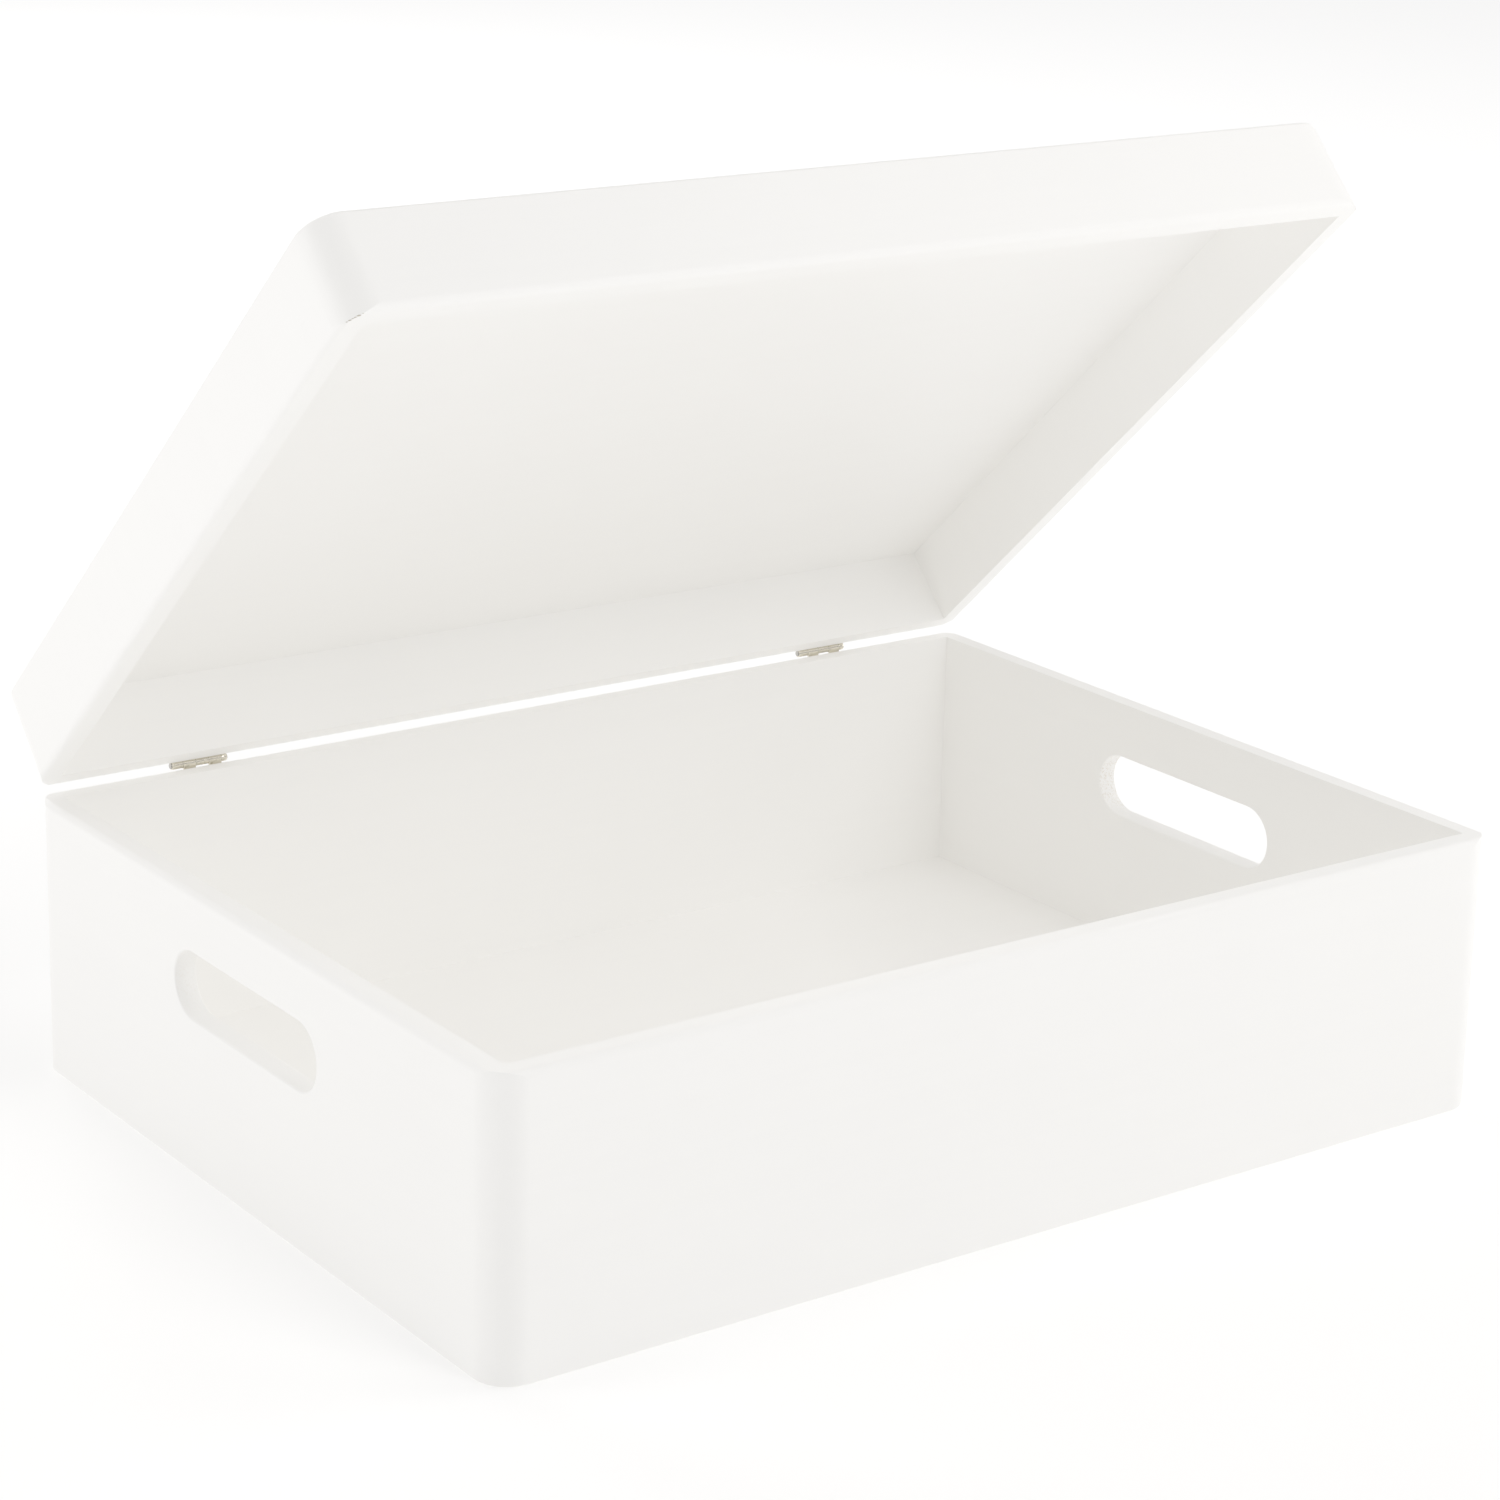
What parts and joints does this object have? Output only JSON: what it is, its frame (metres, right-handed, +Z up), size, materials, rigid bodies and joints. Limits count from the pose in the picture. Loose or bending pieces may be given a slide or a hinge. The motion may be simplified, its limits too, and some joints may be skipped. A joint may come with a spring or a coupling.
{
  "type": "wooden keepsake box",
  "caption": "Shallow rectangular wooden keepsake box with rounded corners, a deep lid hinged at the back and hand slots through its end walls.",
  "frame": {"origin": "middle of the base's underside, on the surface that the box stands on", "axes": "+X along the box's length to its right end seen from the front, +Y to the hinged back, +Z up; the lid is shown 42.9 degrees open"},
  "size_m": [0.4, 0.3229, 0.3287],
  "materials": {
    "painted_board": "satin off-white paint on sanded softwood boards",
    "painted_panel": "satin off-white paint on a thin plywood panel",
    "hinge_nickel": "bright warm nickel plating on pressed steel",
    "screw_steel": "bright zinc plated steel",
    "pin_steel": "plain drawn steel wire"
  },
  "bodies": {
    "base": {"base_front_wall": "painted_board", "base_back_wall": "painted_board", "base_left_wall": "painted_board", "base_right_wall": "painted_board", "base_floor": "painted_panel", "left_hinge_base_leaf": "hinge_nickel", "left_hinge_base_screws": "screw_steel", "right_hinge_base_leaf": "hinge_nickel", "right_hinge_base_screws": "screw_steel"},
    "lid": {"lid_front_rail": "painted_board", "lid_back_rail": "painted_board", "lid_left_rail": "painted_board", "lid_right_rail": "painted_board", "lid_top_panel": "painted_panel", "left_hinge_lid_leaf": "hinge_nickel", "left_hinge_lid_screws": "screw_steel", "left_hinge_pin": "pin_steel", "right_hinge_lid_leaf": "hinge_nickel", "right_hinge_lid_screws": "screw_steel", "right_hinge_pin": "pin_steel"}
  },
  "joints": [
    {"name": "lid_hinge", "type": "hinge", "parent": "base", "child": "lid", "pos_m": [0, 0.1515, 0.0992], "axis": [-1, 0, 0], "range_deg": [-42.9, 141.6]}
  ]
}
